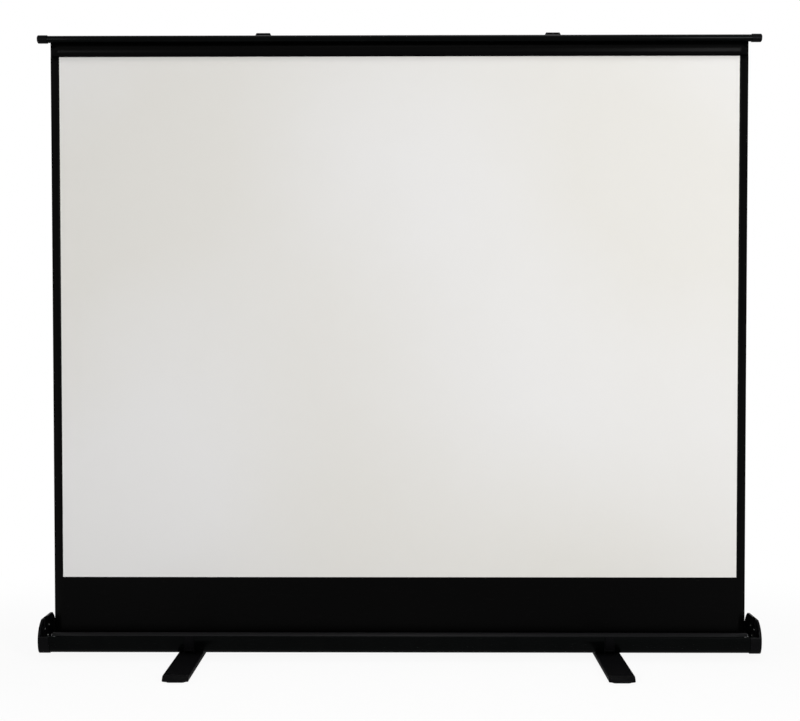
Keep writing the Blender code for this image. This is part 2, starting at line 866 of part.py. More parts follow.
def make_scissor(aluminium, steel):
    """The two crossed arms, the centring links and the pins between them."""
    quarter = arm_length / 4
    back_angle = 180 - arm_angle
    front_holes = (-quarter, 0, quarter, 2 * quarter, 3 * quarter)
    front = make_arm(
        "scissor_arm_front", front_arm_y, quarter, 3 * quarter, front_holes, aluminium
    )
    lean(front, scissor_x - quarter_x, lower_joint_z, arm_angle)
    rear_holes = (-2 * quarter, 0, 2 * quarter)
    rear = make_arm(
        "scissor_arm_rear", rear_arm_y, 2 * quarter, 2 * quarter, rear_holes, aluminium
    )
    lean(rear, scissor_x, middle_z, back_angle)
    lean(make_link("link_lower", steel), scissor_x, pivot_z, back_angle)
    right = scissor_x + quarter_x
    lean(make_link("link_upper", steel), right, upper_joint_z, back_angle)
    left = scissor_x - quarter_x
    make_cross_pin("scissor_centre_pin", scissor_x, middle_z, arm_wall, steel)
    make_cross_pin("link_pin_lower_arm", left, lower_joint_z, link_thickness, steel)
    make_cross_pin("link_pin_upper_arm", right, upper_joint_z, link_thickness, steel)


def make_cross_pin(name, x, z, last_thickness, material):
    """A riveted pin through the front arm and the arm or link behind it."""
    front = front_arm_y - gap
    web = front_arm_y + arm_wall + gap
    collar_end = rear_arm_y - gap
    back = rear_arm_y + last_thickness + gap
    profile = [
        (front - pin_head_thickness, pin_head_radius), (front, pin_head_radius),
        (front, pin_radius), (web, pin_radius), (web, pin_head_radius),
        (collar_end, pin_head_radius), (collar_end, pin_radius), (back, pin_radius),
        (back, pin_head_radius), (back + pin_head_thickness, pin_head_radius),
    ]
    pivot_on(turned(name, profile, "Y", (x, z), pin_sides, material), (x, 0, z))


def headed_pin(name, x, z, start, head, material):
    """A pin with its head at the back."""
    profile = [
        (start, pin_radius), (head, pin_radius), (head, pin_head_radius),
        (head + pin_head_thickness, pin_head_radius),
    ]
    pivot_on(turned(name, profile, "Y", (x, z), pin_sides, material), (x, 0, z))


def slot_tongue(x, z, half_length):
    """The T-shaped tongue that runs in a slot."""
    neck = slot_mouth / 2 - gap
    head = slot_room / 2 - gap
    step = slot_room_y - gap
    end = slot_end_y + gap
    outline = [
        (slider_front_y + slider_chamfer, z - neck), (slider_front_y + slider_chamfer, z + neck),
        (step, z + neck), (step, z + head), (end, z + head),
        (end, z - head), (step, z - head), (step, z - neck),
    ]
    return prism("tongue", outline, "X", x - half_length, x + half_length)


def make_slider(name, x, z, rise, boss_end, material):
    """A slide block; the upper ones stand above the tube as a slanted tab."""
    half = slider_length / 2
    bottom = z - slider_half_height
    if rise:
        shoulder = z + tube_radius
        top = shoulder + tab_rise
        slant = tab_slant
    else:
        top = z + slider_half_height
        shoulder = top - slider_chamfer
        slant = slider_chamfer
    outline = [
        (x - half + slider_chamfer, bottom), (x + half - slider_chamfer, bottom),
        (x + half, bottom + slider_chamfer), (x + half, shoulder), (x + half - slant, top),
        (x - half + slant, top), (x - half, shoulder), (x - half, bottom + slider_chamfer),
    ]
    slider = prism(name, outline, "Y", slider_front_y, slider_back_y, material)
    combine(slider, slot_tongue(x, z, half), "UNION")
    if boss_end > slider_back_y:
        boss = rod("boss", "Y", (x, z), boss_radius, slider_back_y - slider_chamfer, boss_end)
        combine(slider, boss, "UNION")
    seat = slider_back_y - pin_seat_depth
    drill(slider, "Y", [(x, z)], pin_radius + gap, seat - gap, boss_end + overrun)
    smooth(slider)
    pivot_on(slider, (x, 0, z))


def make_slides(plastic, steel):
    """Four slide blocks, each with the pin of its arm."""
    places = (
        ("lower_left", -1, pivot_z, False, front_arm_y),
        ("lower_right", 1, pivot_z, False, rear_arm_y),
        ("upper_left", -1, top_axis_z, True, rear_arm_y),
        ("upper_right", 1, top_axis_z, True, front_arm_y),
    )
    for label, side, z, rise, arm_y in places:
        x = scissor_x + side * half_span
        boss_end = slider_back_y if arm_y == front_arm_y else arm_y - gap
        make_slider(f"slider_{label}", x, z, rise, boss_end, plastic)
        head = arm_y + arm_wall + gap
        headed_pin(f"arm_pin_{label}", x, z, slider_back_y - pin_seat_depth, head, steel)


def make_link_brackets(plastic, steel):
    """The upright bracket on the tray and the block on the tube for the links."""
    plate_y = link_back_y + gap
    back_y = plate_y + bracket_plate
    foot_z = tray_floor_z + gap
    outline = [
        (plate_y, foot_z), (back_y + bracket_foot_depth, foot_z),
        (back_y + bracket_foot_depth, foot_z + bracket_plate), (back_y, foot_z + bracket_plate),
        (back_y, pivot_z + bracket_rise), (plate_y, pivot_z + bracket_rise),
    ]
    low_x = scissor_x - bracket_half_length
    high_x = scissor_x + bracket_half_length
    lower = prism("link_bracket_lower", outline, "X", low_x, high_x, steel)
    centre = [(scissor_x, pivot_z)]
    drill(lower, "Y", centre, pin_radius + gap, plate_y - overrun, back_y + overrun)
    front = rear_arm_y - gap
    profile = [
        (front - pin_head_thickness, pin_head_radius), (front, pin_head_radius),
        (front, pin_radius), (back_y + gap, pin_radius), (back_y + gap, pin_head_radius),
        (back_y + gap + pin_head_thickness, pin_head_radius),
    ]
    turned("link_pin_case", profile, "Y", centre[0], pin_sides, steel)

    low = (scissor_x - hanger_half_length, top_axis_z - hanger_half_height)
    high = (scissor_x + hanger_half_length, top_axis_z + hanger_half_height)
    upper = prism(
        "link_bracket_upper", rounded_box(low, high, slider_chamfer), "Y",
        slider_front_y, front, plastic,
    )
    combine(upper, slot_tongue(scissor_x, top_axis_z, hanger_half_length), "UNION")
    seat = front - link_pin_seat_depth
    centre = [(scissor_x, top_axis_z)]
    drill(upper, "Y", centre, pin_radius + gap, seat - gap, front + overrun)
    pivot_on(upper, (scissor_x, 0, top_axis_z))
    headed_pin("link_pin_bar", scissor_x, top_axis_z, seat, link_back_y + gap, steel)


def front_wall(inset, start, end):
    """Line along the front wall between two angles from its widest line."""
    line = lower_side(inset, start, min(end, 0), corner_steps)
    if end > 0:
        line += upper_side(inset, 0, end, corner_steps)[1:]
    return mirrored(line)


def front_band(inner, outer, start, end):
    """Outline of a band that follows the front wall of the tray."""
    return front_wall(inner, start, end) + list(reversed(front_wall(outer, start, end)))


def make_latch(label, side, steel):
    """A hinged catch on the front of the tray with its riveted base."""
    x = side * latch_x
    half = latch_width / 2
    wall = tray_inset - gap
    plate_face = wall - latch_base_plate
    ear_out = half + gap + latch_ear
    base = prism(
        f"latch_base_{label}",
        front_band(wall, plate_face, latch_low_angle, latch_high_angle), "X",
        x - ear_out, x + ear_out, steel,
    )
    hinge = front_wall(wall - latch_stand_off, latch_pivot_angle, 0)[-1]
    for toward in (-1, 1):
        inner = x + toward * (half + gap)
        outer = x + toward * ear_out
        ear = front_band(wall, wall - latch_ear_depth, latch_low_angle, latch_ear_angle)
        combine(base, prism("ear", ear, "X", inner, outer), "UNION")
    drill(base, "X", [hinge], latch_pin_radius + gap, x - ear_out - overrun, x + ear_out + overrun)
    smooth(base)

    inner_face = plate_face - gap
    lever_band = front_band(inner_face, inner_face - latch_plate, latch_pivot_angle, latch_grip_angle)
    lever = prism(f"latch_lever_{label}", lever_band, "X", x - half, x + half, steel)
    barrel = rod("barrel", "X", hinge, latch_barrel_radius - gap, x - half, x + half)
    combine(lever, barrel, "UNION")
    pin = rod("pin", "X", hinge, latch_pin_radius, x - ear_out, x + ear_out)
    combine(lever, pin, "UNION")
    smooth(lever)
    pivot_on(lever, (x, hinge[0], hinge[1]))


def build():
    """Make every piece of the screen."""
    for thing in list(bpy.data.objects):
        bpy.data.objects.remove(thing)
    black_metal = finish("black_anodised_aluminium", (0.016, 0.016, 0.017), 0.42, 0.6)
    grey_metal = finish("satin_aluminium", (0.22, 0.22, 0.23), 0.35, 0.9)
    steel = finish("zinc_plated_steel", (0.45, 0.45, 0.44), 0.35, 1)
    painted = finish("black_painted_steel", (0.02, 0.02, 0.021), 0.5, 0.2)
    plastic = finish("black_moulded_plastic", (0.018, 0.018, 0.019), 0.5)
    nylon = finish("natural_nylon", (0.62, 0.61, 0.57), 0.55)
    rubber = finish("black_rubber", (0.012, 0.012, 0.012), 0.85)
    screen = finish("matte_white_fabric", (0.80, 0.80, 0.78), 0.9)
    wound = finish("black_backed_fabric", (0.02, 0.02, 0.02), 0.8)

    make_tray(black_metal)
    for label, side in SIDES:
        make_end_cap(label, side, plastic)
        make_roller_bracket(label, side, plastic)
        make_foot_mount(label, side, steel, nylon)
        make_foot(label, side, painted, plastic, rubber)
        make_latch(label, side, steel)
    make_lid(black_metal, plastic)
    make_roller(grey_metal, plastic, wound)
    make_fabric(screen)
    make_top_bar(black_metal, plastic, rubber)
    make_scissor(black_metal, steel)
    make_slides(plastic, steel)
    make_link_brackets(plastic, steel)


build()
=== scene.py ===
# %% [markdown]
# # A portable pull-up projection screen
#
# The screen stands on two swing-out feet. A long black case lies across them, and a
# scissor behind the fabric holds the top tube up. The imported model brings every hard
# piece at its real size and place. This lesson gives those pieces their finishes, adds
# the fabric and the small fasteners, and then lights the whole for a picture.

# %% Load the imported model
import math

import bmesh
import bpy
from mathutils import Matrix, Vector


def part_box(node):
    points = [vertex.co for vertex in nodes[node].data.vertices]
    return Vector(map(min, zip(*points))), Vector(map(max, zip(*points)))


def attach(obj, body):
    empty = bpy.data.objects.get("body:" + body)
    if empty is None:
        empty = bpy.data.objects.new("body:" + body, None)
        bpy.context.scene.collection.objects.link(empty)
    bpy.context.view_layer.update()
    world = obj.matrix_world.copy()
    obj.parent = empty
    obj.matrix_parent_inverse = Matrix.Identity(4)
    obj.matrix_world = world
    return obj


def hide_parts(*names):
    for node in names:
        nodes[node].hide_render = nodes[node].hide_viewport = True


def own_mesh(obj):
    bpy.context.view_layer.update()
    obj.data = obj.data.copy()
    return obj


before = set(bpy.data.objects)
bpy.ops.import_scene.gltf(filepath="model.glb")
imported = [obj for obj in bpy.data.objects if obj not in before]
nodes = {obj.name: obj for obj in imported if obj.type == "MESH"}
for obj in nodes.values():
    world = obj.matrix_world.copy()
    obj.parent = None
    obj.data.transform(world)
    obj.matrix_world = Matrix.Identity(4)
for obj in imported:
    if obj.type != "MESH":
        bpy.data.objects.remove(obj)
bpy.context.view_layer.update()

print("pieces from the packed model:", len(nodes))

# %% [markdown]
# Colours are easiest to choose as the hex values of a picture program. Those are sRGB
# values, while Blender's shaders count in linear light, so one function turns the first
# into the second. A second function adds a shader node with its settings and links,
# because every finish below is built from a handful of nodes.

# %% Colour and node helpers
def linear(hex_colour):
    """An sRGB hex colour as linear red, green, blue and alpha."""
    values = []
    for start in (1, 3, 5):
        value = int(hex_colour[start:start + 2], 16) / 255
        low = value <= 0.04045
        values.append(value / 12.92 if low else ((value + 0.055) / 1.055) ** 2.4)
    return (*values, 1)


def add_node(tree, kind, links=None, **settings):
    """Add a shader node, then set its options and fill or link its sockets."""
    node = tree.nodes.new(kind)
    for option, value in settings.items():
        setattr(node, option, value)
    for socket, value in (links or {}).items():
        if isinstance(value, bpy.types.NodeSocket):
            tree.links.new(value, node.inputs[socket])
        else:
            node.inputs[socket].default_value = value
    return node


print("linear grey of #808080:", round(linear("#808080")[0], 3))

# %% [markdown]
# The finishes begin and end alike. Each begins with a new material that knows the place
# on its piece in metres. Each ends with three patterns that lead to the shader: the first
# mixes a dark and a light colour, the second moves the roughness between two values, and
# the third raises a fine relief. Two functions take that up, and only the patterns
# themselves are left to write for each finish.

# %% Beginning and end of a finish
def start_finish(name, **constants):
    """A new material with its shader, and the place on the piece in metres."""
    material = bpy.data.materials.new(name)
    material.use_nodes = True
    tree = material.node_tree
    shader = tree.nodes["Principled BSDF"]
    for socket, value in constants.items():
        shader.inputs[socket.replace("_", " ")].default_value = value
    place = add_node(tree, "ShaderNodeTexCoord").outputs["Object"]
    return material, tree, shader, place


def end_finish(
    tree, shader, tint, colours, gloss, roughness, relief=None, strength=0, depth=0
):
    """Lead the patterns of the colour, the roughness and the relief to the shader."""
    colour = add_node(
        tree, "ShaderNodeMix", {"Factor": tint, "A": colours[0], "B": colours[1]},
        data_type="RGBA",
    )
    tree.links.new(colour.outputs["Result"], shader.inputs["Base Color"])
    spread = add_node(
        tree, "ShaderNodeMapRange",
        {"Value": gloss, "To Min": roughness[0], "To Max": roughness[1]},
    )
    tree.links.new(spread.outputs["Result"], shader.inputs["Roughness"])
    if relief is not None:
        bump = add_node(
            tree, "ShaderNodeBump", {"Height": relief, "Strength": strength, "Distance": depth}
        )
        tree.links.new(bump.outputs["Normal"], shader.inputs["Normal"])


print("materials so far:", len(bpy.data.materials))

# %% [markdown]
# Patterns are sized from real millimetres. A noise or cell texture repeats about once in
# a unit divided by its scale, and a band texture has twenty radians to a unit, so each
# gets its scale from a length by a short sum.

# %% Pattern scales from real lengths
MM = 0.001


def spot_scale(size):
    """Scale of a noise or cell texture whose spots are about as wide as a length."""
    return 1 / size


def band_scale(period):
    """Scale of a wave texture whose bands repeat at a length."""
    return math.tau / 20 / period


print("scale for 1 mm spots:", spot_scale(1 * MM))

# %% [markdown]
# ## Black anodised aluminium
#
# The case, the lid, the top tube and the arms are extrusions. Anodising grows a hard
# oxide layer that takes black dye, and the eye gets a satin black with a metal's soft
# highlights. The dye covers most of the bare metal, so the shader is only a third
# metallic. Extruding leaves faint die lines along the profile. They are finer than a
# pixel here, so they are drawn a few times as coarse as the real ones. The lines come
# from noise that is stretched along the profile, and the arms lean, so their material
# turns its pattern by the arm's angle.

# %% Anodised aluminium
DIE_LINE = 0.9 * MM
DIE_LINE_LENGTH = 180 * MM
DYE_CLOUD = 60 * MM
ANODISE_COLOURS = linear("#020303"), linear("#060707")


def along_profile(tree, vector):
    """Stretch a pattern along X, so that its spots turn into die lines."""
    return add_node(
        tree, "ShaderNodeMapping",
        {"Vector": vector, "Scale": (DIE_LINE / DIE_LINE_LENGTH, 1, 1)},
    ).outputs["Vector"]


def anodised_aluminium(name, lean=0.0):
    """Satin black extrusion with die lines along X, turned up from X by an angle."""
    material, tree, shader, place = start_finish(
        name, Metallic=0.35, Specular_IOR_Level=0.034
    )
    turned = add_node(
        tree, "ShaderNodeMapping", {"Vector": place, "Rotation": (0, lean, 0)}
    ).outputs["Vector"]
    lines = add_node(
        tree, "ShaderNodeTexNoise",
        {"Vector": along_profile(tree, turned), "Scale": spot_scale(DIE_LINE), "Detail": 2.0},
    ).outputs["Fac"]
    clouds = add_node(
        tree, "ShaderNodeTexNoise",
        {"Vector": place, "Scale": spot_scale(DYE_CLOUD), "Detail": 3.0},
    ).outputs["Fac"]
    end_finish(
        tree, shader, clouds, ANODISE_COLOURS, lines, (0.14, 0.22), lines, 0.06, 0.1 * MM
    )
    return material


lower_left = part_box("slider_lower_left")
upper_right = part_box("slider_upper_right")
rise = (upper_right[0].z + upper_right[1].z - lower_left[0].z - lower_left[1].z) / 2
run = (upper_right[0].x + upper_right[1].x - lower_left[0].x - lower_left[1].x) / 2
arm_angle = math.atan2(rise, run)
extrusion_finish = anodised_aluminium("anodised_aluminium_satin_black")
front_arm_finish = anodised_aluminium("anodised_aluminium_front_arm", arm_angle)
rear_arm_finish = anodised_aluminium("anodised_aluminium_rear_arm", -arm_angle)
print("arm angle in degrees:", round(math.degrees(arm_angle), 1))

# %% [markdown]
# ## Moulded black plastic
#
# The end caps, the tube's sleeves and the feet's noses are moulded ABS, and the slide
# blocks are moulded acetal. The mould's spark-eroded steel leaves a fine even grain,
# which spreads the highlights. The grain is a tenth of a millimetre on the real part and
# is drawn at 0.8 mm here, so that it shows at all. Where the melt flowed together, the
# gloss varies in broad patches.

# %% Moulded plastic
MOULD_GRAIN = 0.8 * MM
FLOW_PATCH = 35 * MM
MOULDING_COLOURS = linear("#040405"), linear("#080809")


def moulded_plastic(name, roughness):
    """Black moulded plastic with an even spark-eroded grain."""
    material, tree, shader, place = start_finish(name, IOR=1.54, Specular_IOR_Level=0.03)
    grain = add_node(
        tree, "ShaderNodeTexNoise",
        {"Vector": place, "Scale": spot_scale(MOULD_GRAIN), "Detail": 3.0},
    ).outputs["Fac"]
    flow = add_node(
        tree, "ShaderNodeTexNoise", {"Vector": place, "Scale": spot_scale(FLOW_PATCH)}
    ).outputs["Fac"]
    end_finish(
        tree, shader, flow, MOULDING_COLOURS, flow, roughness, grain, 0.2, 0.12 * MM
    )
    return material


cap_finish = moulded_plastic("moulded_abs_black", (0.30, 0.44))
slide_finish = moulded_plastic("moulded_acetal_black", (0.32, 0.42))
print("moulded finishes:", cap_finish.name, slide_finish.name)

# %% [markdown]
# ## Powder coat
#
# The feet, the centring links and the latches are steel with a baked powder coat. The
# powder melts into a matte skin that is slightly wavy, like the peel of an orange, with
# waves about two millimetres apart.

# %% Powder-coated steel
ORANGE_PEEL = 2.2 * MM
POWDER_SPECK = 0.7 * MM
POWDER_COLOURS = linear("#020203"), linear("#070708")


def powder_coat(name):
    """Baked black powder coat with a shallow orange-peel wave."""
    material, tree, shader, place = start_finish(name, IOR=1.5, Specular_IOR_Level=0.03)
    peel = add_node(
        tree, "ShaderNodeTexNoise",
        {"Vector": place, "Scale": spot_scale(ORANGE_PEEL), "Detail": 1.0},
    ).outputs["Fac"]
    specks = add_node(
        tree, "ShaderNodeTexNoise", {"Vector": place, "Scale": spot_scale(POWDER_SPECK)}
    ).outputs["Fac"]
    end_finish(
        tree, shader, specks, POWDER_COLOURS, peel, (0.6, 0.74), peel, 0.25, 0.15 * MM
    )
    return material


foot_finish = powder_coat("powder_coated_steel_black")
print("coat wave in millimetres:", ORANGE_PEEL / MM)

# %% [markdown]
# ## Zinc plate
#
# The pins, the bolts, the screws and the foot plates are steel with bright zinc plate.
# Zinc grows in small flat crystals, each with its own tilt and gloss. A cell texture
# copies them, because every cell has one even value.

# %% Zinc plate
ZINC_CRYSTAL = 1.2 * MM
ZINC_COLOURS = linear("#a6a8a6"), linear("#cfd0cc")


def zinc_plate(name):
    """Bright zinc plating with small flat crystals and a faint warm cast."""
    material, tree, shader, place = start_finish(name, Metallic=1.0)
    crystals = add_node(
        tree, "ShaderNodeTexVoronoi", {"Vector": place, "Scale": spot_scale(ZINC_CRYSTAL)}
    ).outputs["Color"]
    step = add_node(tree, "ShaderNodeSeparateColor", {"Color": crystals}).outputs["Red"]
    end_finish(tree, shader, step, ZINC_COLOURS, step, (0.22, 0.38))
    return material


zinc_finish = zinc_plate("zinc_plated_steel")
print("zinc crystal in millimetres:", ZINC_CRYSTAL / MM)

# %% [markdown]
# ## Drawn tube
#
# The roller is a bare aluminium tube. Drawing it through a ring leaves lines along it,
# so it takes the stretched pattern of the extrusions with a bright metal's colours.

# %% Drawn tube
TUBE_COLOURS = linear("#a9abad"), linear("#c9cbcd")


def drawn_tube(name):
    """Bare aluminium tube with draw lines along X."""
    material, tree, shader, place = start_finish(name, Metallic=1.0)
    lines = add_node(
        tree, "ShaderNodeTexNoise",
        {"Vector": along_profile(tree, place), "Scale": spot_scale(DIE_LINE)},
    ).outputs["Fac"]
    end_finish(tree, shader, lines, TUBE_COLOURS, lines, (0.28, 0.45))
    return material


roller_finish = drawn_tube("drawn_aluminium_tube")
print("roller finish:", roller_finish.name)

# %% [markdown]
# ## Nylon and rubber
#
# The washers in the feet's pivots are milky nylon. The pads under the feet, the spline in
# the tube and the lips of the caps are black rubber, which is matte and takes up dust.
# Both are soft mouldings with a cloudy colour and a small grain.

# %% Nylon and rubber
SOFT_CLOUD = 8 * MM


def soft_moulding(name, colours, ior, shine, roughness, grain_size):
    """Nylon or rubber: a cloudy colour and a matte grain."""
    material, tree, shader, place = start_finish(name, IOR=ior, Specular_IOR_Level=shine)
    clouds = add_node(
        tree, "ShaderNodeTexNoise", {"Vector": place, "Scale": spot_scale(SOFT_CLOUD)}
    ).outputs["Fac"]
    grain = add_node(
        tree, "ShaderNodeTexNoise", {"Vector": place, "Scale": spot_scale(grain_size)}
    ).outputs["Fac"]
    end_finish(tree, shader, clouds, colours, grain, roughness, grain, 0.3, 0.1 * MM)
    return material


nylon_finish = soft_moulding(
    "moulded_nylon_natural", (linear("#cfccc2"), linear("#dedbd2")),
    ior=1.53, shine=0.5, roughness=(0.45, 0.6), grain_size=1 * MM,
)
rubber_finish = soft_moulding(
    "moulded_rubber_black", (linear("#0e0e0e"), linear("#151514")),
    ior=1.52, shine=0.2, roughness=(0.7, 0.9), grain_size=0.9 * MM,
)
print("soft finishes:", nylon_finish.name, rubber_finish.name)

# %% [markdown]
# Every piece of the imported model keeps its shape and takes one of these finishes. A
# short list pairs the start of each piece's name with its finish, and the first start
# that fits a name decides. The two fabric solids and the foot noses are replaced further
# down, so the finish that they get here doesn't show.

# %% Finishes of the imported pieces
FINISHES = (
    ("scissor_arm_front", front_arm_finish), ("scissor_arm_rear", rear_arm_finish),
    ("scissor_centre_pin", zinc_finish), ("link_bracket_lower", zinc_finish),
    ("link_bracket_upper", slide_finish), ("link_pin", zinc_finish),
    ("link_", foot_finish), ("arm_pin", zinc_finish), ("slider_", slide_finish),
    ("case_tray", extrusion_finish), ("lid_shell", extrusion_finish),
    ("top_tube", extrusion_finish), ("tube_plug", cap_finish), ("end_cap", cap_finish),
    ("lid_keeper", cap_finish), ("carry_handle", cap_finish),
    ("roller_bracket", cap_finish), ("roller_plug", cap_finish),
    ("roller_tube", roller_finish), ("roller_fabric", rubber_finish),
    ("fabric_spline", rubber_finish), ("screen_fabric", nylon_finish),
    ("foot_nose", cap_finish), ("foot_pad", rubber_finish), ("foot_plate", zinc_finish),
    ("foot_bolt", zinc_finish), ("foot_washer", nylon_finish), ("foot_", foot_finish),
    ("latch_", foot_finish),
)

for node_name, piece in nodes.items():
    finish = next(material for start, material in FINISHES if node_name.startswith(start))
    if not piece.material_slots:
        piece.data.materials.append(finish)
    for holder in piece.material_slots:
        holder.material = finish
print("pieces finished:", len(nodes))

# %% [markdown]
# ## The screen fabric
#
# The fabric is PVC-coated cloth, matte white in front and black at the back. A black
# border is printed round the white field, and a long black drop below it brings the
# picture up to a good height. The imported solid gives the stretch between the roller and
# the top tube, so the new sheet takes its width, its ends and its plane from that solid.
# The white field's own size comes from the photograph: it is a 4:3 field of 100 inches.

# %% Sizes of the fabric
FIELD_WIDTH = 2.014
TOP_BORDER = 0.042
FIELD_HEIGHT = 1.548
fabric_low, fabric_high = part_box("screen_fabric")
fabric_thickness = fabric_high.y - fabric_low.y
fabric_width = fabric_high.x - fabric_low.x
fabric_drawn = fabric_high.z - fabric_low.z
tube_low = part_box("top_tube")[0]
field_top = tube_low.z - TOP_BORDER
field_bottom = field_top - FIELD_HEIGHT
print("sheet, metres:", round(fabric_width, 3), "x", round(fabric_drawn, 3))
print("white field from", round(field_bottom, 3), "to", round(field_top, 3))

# %% [markdown]
# Every new piece below is built as points and faces, and then becomes an object of the
# scene under its own name. One function does that last step for all of them.

# %% From mesh to piece
def new_piece(name, mesh):
    """Turn a finished mesh into an object of the scene."""
    data = bpy.data.meshes.new(name)
    mesh.to_mesh(data)
    mesh.free()
    piece = bpy.data.objects.new(name, data)
    bpy.context.scene.collection.objects.link(piece)
    return piece


# %% [markdown]
# The sheet isn't perfectly plane. The tube and the roller hold its ends straight, the
# scissor pulls hardest near the middle, and the free sides curl back by a millimetre or
# two. A formula gives each point that small wave, and both faces of the fabric share it.

# %% Wave of the fabric
WAVE_DEPTH = 0.9 * MM
EDGE_CURL = 1.6 * MM
CURL_REACH = 0.09
END_HOLD = 0.6
RIPPLES = ((5.1, 0.9, 0.0), (2.3, -1.7, 1.1))


def wave(x, z):
    """How far the sheet stands behind its plane at a point."""
    share = (z - fabric_low.z) / fabric_drawn
    held = math.sin(math.pi * share) ** END_HOLD if 0 < share < 1 else 0
    ripple = sum(math.sin(x * across + z * up + shift) for across, up, shift in RIPPLES)
    beside = fabric_width / 2 - abs(x)
    curl = EDGE_CURL * math.exp(-((beside / CURL_REACH) ** 2))
    return held * (WAVE_DEPTH * ripple / len(RIPPLES) + curl)


print("wave at the middle, mm:", round(wave(0, (fabric_low.z + fabric_high.z) / 2) / MM, 2))

# %% [markdown]
# The sheet is a grid whose lines run along the edges of the white field, so the border
# is a change of material between faces and stays sharp when the sheet is pressed flat.
# Grid lines are spread evenly between such marks, and the rim is closed by a walk round
# the grid's edge, so that the fabric has a thickness.

# %% Grid of the sheet
ROW_STEP = 0.024
COLUMN_STEP = 0.030


def grid_lines(low, high, marks, step):
    """Even grid lines between two levels that also pass through the marks."""
    stops = [low, *marks, high]
    lines = [low]
    for start, end in zip(stops, stops[1:]):
        count = max(1, round((end - start) / step))
        lines += [start + (end - start) * number / count for number in range(1, count + 1)]
    return lines


def grid_rim(last_row, last_column):
    """The grid's outer points, one after another."""
    rim = [(row, 0) for row in range(last_row, 0, -1)]
    rim += [(0, column) for column in range(last_column)]
    rim += [(row, last_column) for row in range(last_row)]
    return rim + [(last_row, column) for column in range(last_column, 0, -1)]


field_edges = (-FIELD_WIDTH / 2, FIELD_WIDTH / 2)
columns = grid_lines(-fabric_width / 2, fabric_width / 2, field_edges, COLUMN_STEP)
print("grid columns:", len(columns))

# %% [markdown]
# Now the grid becomes cloth: a front that is white or black, a black back and a black
# rim. The top border is a strip of its own, so that it can stay on the tube when the tube
# comes down. It lies a hair behind the rest of the sheet.

# %% The sheet of fabric
BORDER_BEHIND = 0.1 * MM
WHITE_FACE, MASK_FACE, BACK_FACE = range(3)


def make_sheet(name, bottom, top, marks=(), behind=0.0):
    """A height of the drawn-out sheet with its front, its back and its edges."""
    rows = grid_lines(bottom, top, marks, ROW_STEP)
    mesh = bmesh.new()
    flat = mesh.loops.layers.uv.new("flat_metres")
    sides = []
    for face_y in (fabric_low.y, fabric_high.y):
        level = face_y + behind
        side = [[mesh.verts.new((x, level + wave(x, z), z)) for x in columns] for z in rows]
        sides.append(side)
    front, back = sides
    last_row, last_column = len(rows) - 1, len(columns) - 1
    for row in range(last_row):
        middle_z = (rows[row] + rows[row + 1]) / 2
        for column in range(last_column):
            middle_x = (columns[column] + columns[column + 1]) / 2
            white = abs(middle_x) < FIELD_WIDTH / 2 and field_bottom < middle_z < field_top
            corners = [(row, column), (row, column + 1)]
            corners += [(row + 1, column + 1), (row + 1, column)]
            face = mesh.faces.new([front[r][c] for r, c in corners])
            face.material_index = WHITE_FACE if white else MASK_FACE
            face = mesh.faces.new([back[r][c] for r, c in reversed(corners)])
            face.material_index = BACK_FACE
    rim = grid_rim(last_row, last_column)
    for start, end in zip(rim, rim[1:] + rim[:1]):
        pair = [front[start[0]][start[1]], front[end[0]][end[1]]]
        pair += [back[end[0]][end[1]], back[start[0]][start[1]]]
        mesh.faces.new(reversed(pair)).material_index = MASK_FACE
    for face in mesh.faces:
        face.smooth = True
        for loop in face.loops:
            loop[flat].uv = (loop.vert.co.x, loop.vert.co.z)
    return new_piece(name, mesh)


sheet = make_sheet("screen_sheet", fabric_low.z, field_top, (field_bottom,))
border = make_sheet(
    "screen_top_border", field_top, fabric_high.z, behind=fabric_thickness + BORDER_BEHIND
)
print("faces of the sheet:", len(sheet.data.polygons))
print("faces of the top border:", len(border.data.polygons))

# %% [markdown]
# Coated cloth has the linen weave of its base pressed into its face. The threads are a
# third of a millimetre apart, which is too fine to show, so the weave is drawn at two and
# a half millimetres. Broad faint clouds of warmer and cooler grey lie over the white, as
# the coating is never even. The pattern is read from the sheet's own flat coordinates, so
# it stays on the cloth when the sheet moves.

# %% Coated cloth
WEAVE = 2.5 * MM
CLOUD = 900 * MM
FINE_CLOUD = 160 * MM
FINE_SHARE = 0.08
CLOUD_LOW, CLOUD_HIGH = 0.34, 0.66


def coated_cloth(name, dark, light, roughness, shine):
    """PVC-coated cloth with a pressed weave, from the flat coordinates of the sheet."""
    material, tree, shader, _ = start_finish(name, IOR=1.5, Specular_IOR_Level=shine)
    flat = add_node(tree, "ShaderNodeUVMap", uv_map="flat_metres").outputs["UV"]
    broad = add_node(
        tree, "ShaderNodeTexNoise",
        {"Vector": flat, "Scale": spot_scale(CLOUD), "Detail": 0.0},
    ).outputs["Fac"]
    fine = add_node(
        tree, "ShaderNodeTexNoise", {"Vector": flat, "Scale": spot_scale(FINE_CLOUD)}
    ).outputs["Fac"]
    clouds = add_node(
        tree, "ShaderNodeMix", {"Factor": FINE_SHARE, "A": broad, "B": fine},
        data_type="FLOAT",
    ).outputs["Result"]
    clouds = add_node(
        tree, "ShaderNodeMapRange",
        {"Value": clouds, "From Min": CLOUD_LOW, "From Max": CLOUD_HIGH},
    ).outputs["Result"]
    threads = []
    for direction in ("X", "Y"):
        band = add_node(
            tree, "ShaderNodeTexWave", {"Vector": flat, "Scale": band_scale(WEAVE)},
            bands_direction=direction,
        )
        threads.append(band.outputs["Fac"])
    weave = add_node(
        tree, "ShaderNodeMath", {0: threads[0], 1: threads[1]}, operation="MULTIPLY"
    ).outputs["Value"]
    colours = linear(dark), linear(light)
    end_finish(tree, shader, clouds, colours, weave, roughness, weave, 0.1, 0.1 * MM)
    return material


